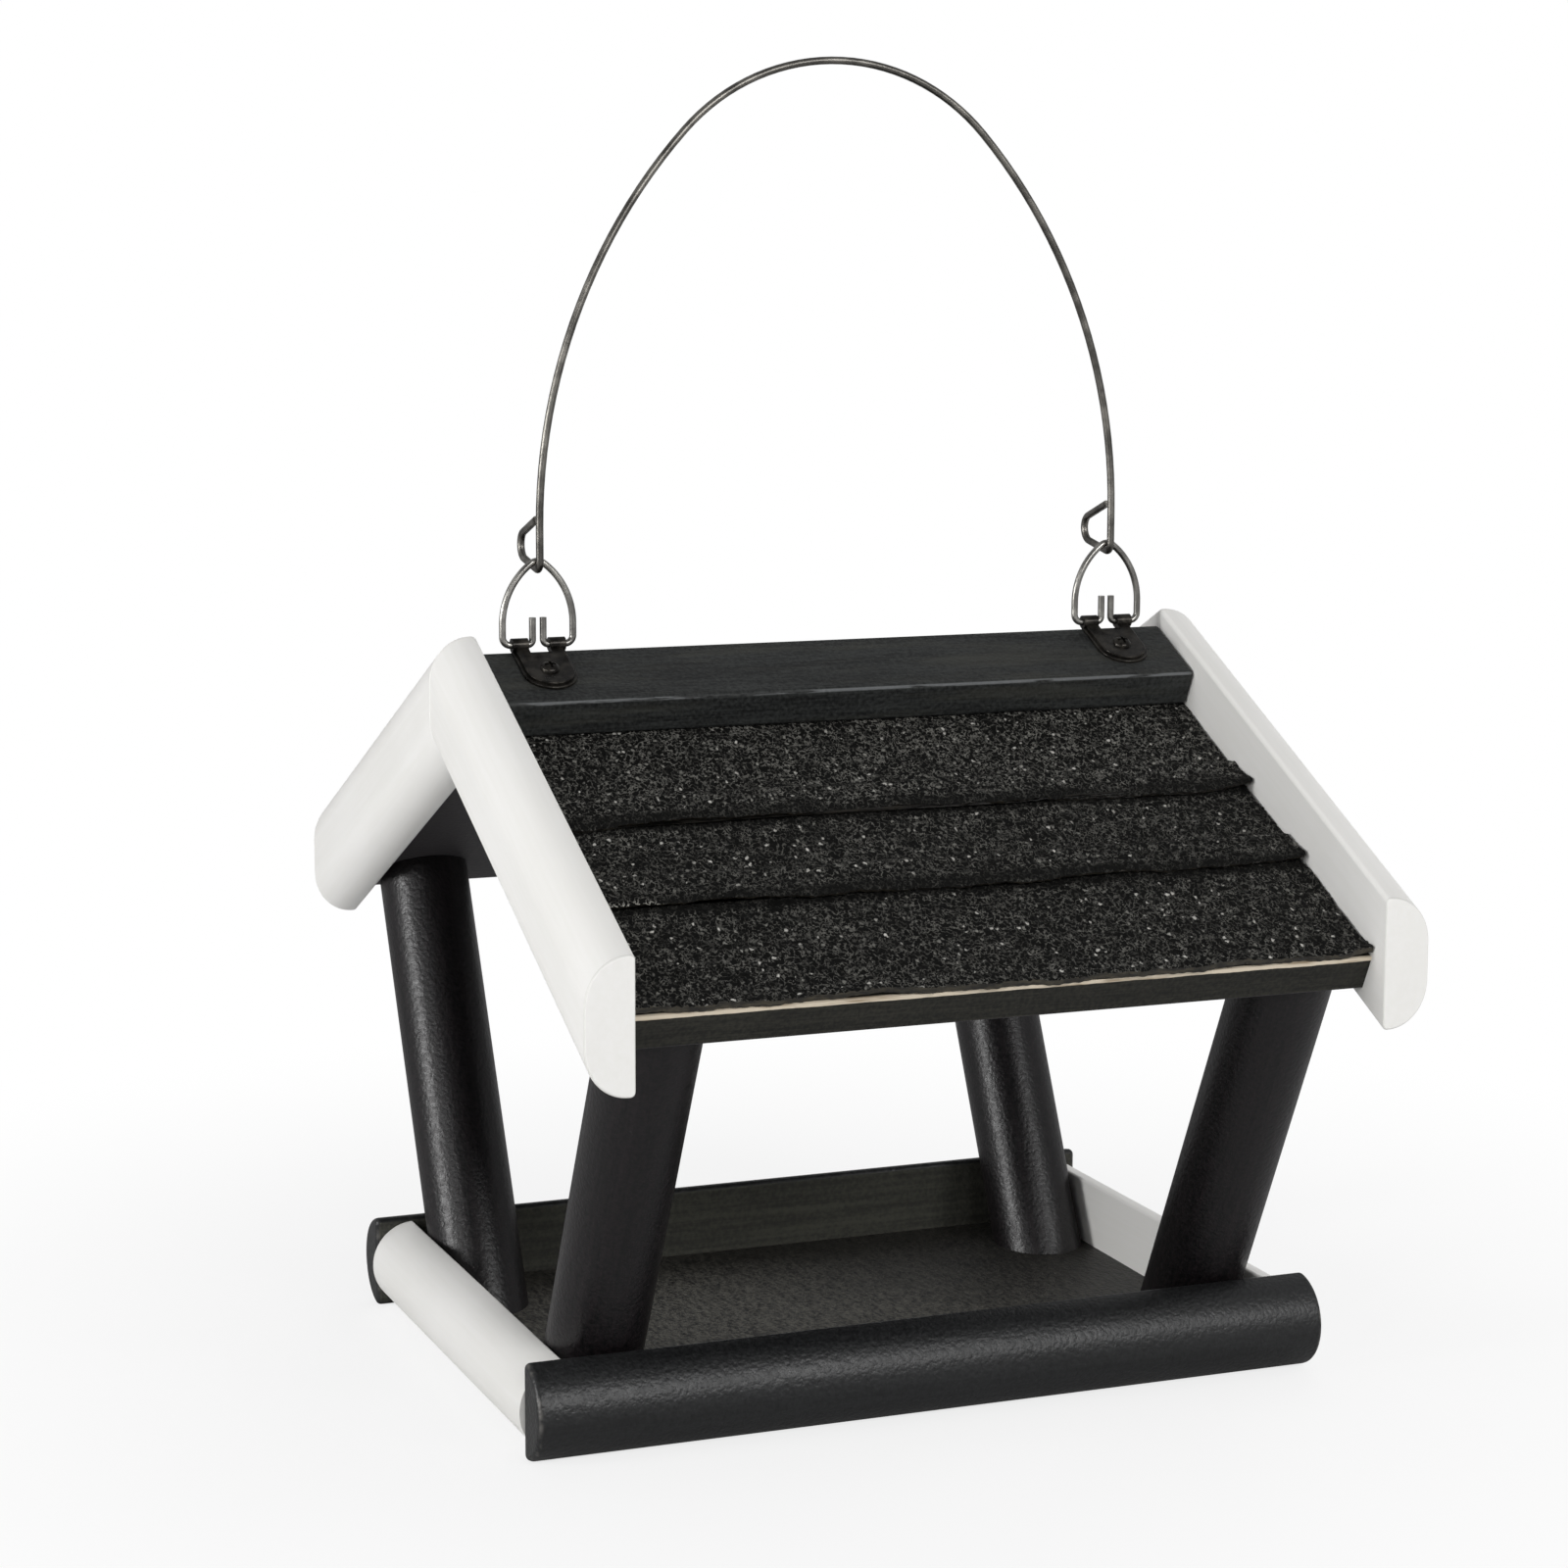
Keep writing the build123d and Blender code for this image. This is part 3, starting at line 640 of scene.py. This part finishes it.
bail_steel = drawn_wire("grey_bail_wire", colour(96, 94, 90), colour(140, 137, 131), 0.3)
dress(bail_steel, "bail")

# Hidden fasteners
# Zinc plated screws and brads, and hardwood dowels between the rails. Only the four screw heads
# under the tray show.

zinc = drawn_wire("zinc_plate", colour(150, 150, 146), colour(190, 190, 184), 0.3)
dress(zinc, "post_foot_screws", "post_head_screws", "ridge_screws", "floor_brads", "barge_brads")
dowel_wood = Finish(bpy.data.materials.new("bare_dowel_wood"))
dowel_grain = dowel_wood.grain(dowel_wood.place(), (900.0, 60.0, 900.0), 3.0)
dowel_tone = dowel_wood.mix(dowel_grain, colour(196, 160, 116), colour(222, 190, 150))
dowel_wood.shade({"Base Color": dowel_tone, "Roughness": 0.7})
dress(dowel_wood, "rail_dowels")

# Studio
# A pale floor that runs out into a white surround, two soft lamps from the left, a broad one from
# the front, fills behind and on the right, and the camera where the photograph was taken.

PALE = (1.0, 1.0, 1.0)
FLOOR_HALF = 4.0


def light_path(finish, ray):
    """1 for rays of the named kind: Is Camera Ray where the camera looks straight at a thing."""
    return finish.node("LightPath", {}, {}, ray)


def lit_surface(finish):
    return Socket(finish, finish.surface.outputs[0])


world = bpy.data.worlds.new("white_surround")
bpy.context.scene.world = world
surround = Finish(world, "Background")
direction = surround.node("TexCoord", {}, {}, "Generated")
to_front = surround.node(
    "VectorMath",
    {"operation": "DOT_PRODUCT"},
    {0: direction, 1: (-0.37, -0.92, 0.1)},
    "Value",
)
mirrored = surround.mix(to_front.rise(0.3, 0.8), (0.39, 0.392, 0.396), (0.04, 0.04, 0.042))
room_light = surround.mix(light_path(surround, "Is Glossy Ray"), (0.27, 0.27, 0.275), mirrored)
surround.shade({"Color": room_light, "Strength": 1.0})
backdrop = surround.node("Background", {}, {"Color": PALE, "Strength": 1.0})
seen = light_path(surround, "Is Camera Ray")
room = surround.node("MixShader", {}, {0: seen, 1: lit_surface(surround), 2: backdrop})
surround.feed(surround.tree.nodes["World Output"].inputs["Surface"], room)

floor_mesh = bpy.data.meshes.new("studio_floor")
floor_corners = [
    (x * FLOOR_HALF, y * FLOOR_HALF, 0.0) for x, y in ((-1, -1), (1, -1), (1, 1), (-1, 1))
]
floor_mesh.from_pydata(floor_corners, [], [(0, 1, 2, 3)])
floor_piece = bpy.data.objects.new("studio_floor", floor_mesh)
bpy.context.scene.collection.objects.link(floor_piece)
floor_paint = Finish(bpy.data.materials.new("studio_floor_paint"))
in_mirror = light_path(floor_paint, "Is Glossy Ray")
floor_tone = floor_paint.mix(in_mirror, (0.86, 0.86, 0.86), (0.5, 0.5, 0.5))
floor_paint.shade({"Base Color": floor_tone, "Roughness": 0.9})
reach = floor_paint.node("VectorMath", {"operation": "LENGTH"}, {0: floor_paint.place()}, "Value")
glow = floor_paint.node("Emission", {}, {"Color": PALE, "Strength": 1.0})
seen = light_path(floor_paint, "Is Camera Ray")
floor_look = floor_paint.node(
    "MixShader",
    {},
    {0: seen * (0.78 + 0.22 * reach.rise(0.12, 0.45)), 1: lit_surface(floor_paint), 2: glow},
)
floor_paint.feed(floor_paint.tree.nodes["Material Output"].inputs["Surface"], floor_look)
floor_mesh.materials.append(floor_paint.owner)


def soft_lamp(name, azimuth, elevation, distance, width, height, power):
    """Soft box aimed at the feeder; azimuth runs from the front to the right."""
    lamp = bpy.data.lights.new(name, "AREA")
    lamp.shape = "RECTANGLE"
    lamp.size = width
    lamp.size_y = height
    lamp.energy = power
    holder = bpy.data.objects.new(name, lamp)
    bpy.context.scene.collection.objects.link(holder)
    turn, rise = math.radians(azimuth), math.radians(elevation)
    outward = (math.sin(turn) * math.cos(rise), -math.cos(turn) * math.cos(rise), math.sin(rise))
    way = Vector(outward)
    holder.location = Vector((0.0, 0.0, 0.12)) + distance * way
    holder.rotation_euler = way.to_track_quat("Z", "Y").to_euler()
    return holder


soft_lamp("key_lamp", -85.0, 12.0, 1.6, 0.4, 0.4, 11.8)
soft_lamp("side_lamp", -50.0, 18.0, 1.6, 0.22, 0.4, 3.2)
soft_lamp("front_lamp", 12.0, 26.0, 1.8, 1.3, 0.45, 16.0)
back_fill = soft_lamp("back_fill", 140.0, 30.0, 2.0, 1.2, 0.8, 9.0)
right_fill = soft_lamp("right_fill", 95.0, 10.0, 2.0, 1.2, 0.8, 12.0)
for fill in (back_fill, right_fill):
    fill.visible_glossy = False

CAMERA_AT = Vector((-0.40322, -0.97926, 0.33315))
CAMERA_TO = Vector((-0.01247, 0.00572, 0.16979))
CAMERA_ROLL = math.radians(0.17)
camera = bpy.data.cameras.new("camera")
camera.sensor_width = 36.0
camera.lens = 82.34
view_point = bpy.data.objects.new("camera", camera)
bpy.context.scene.collection.objects.link(view_point)
aim = (CAMERA_AT - CAMERA_TO).to_track_quat("Z", "Y").to_matrix()
aim = aim @ Matrix.Rotation(CAMERA_ROLL, 3, "Z")
view_point.matrix_world = Matrix.Translation(CAMERA_AT) @ aim.to_4x4()
bpy.context.scene.camera = view_point
bpy.context.scene.view_settings.view_transform = "Standard"
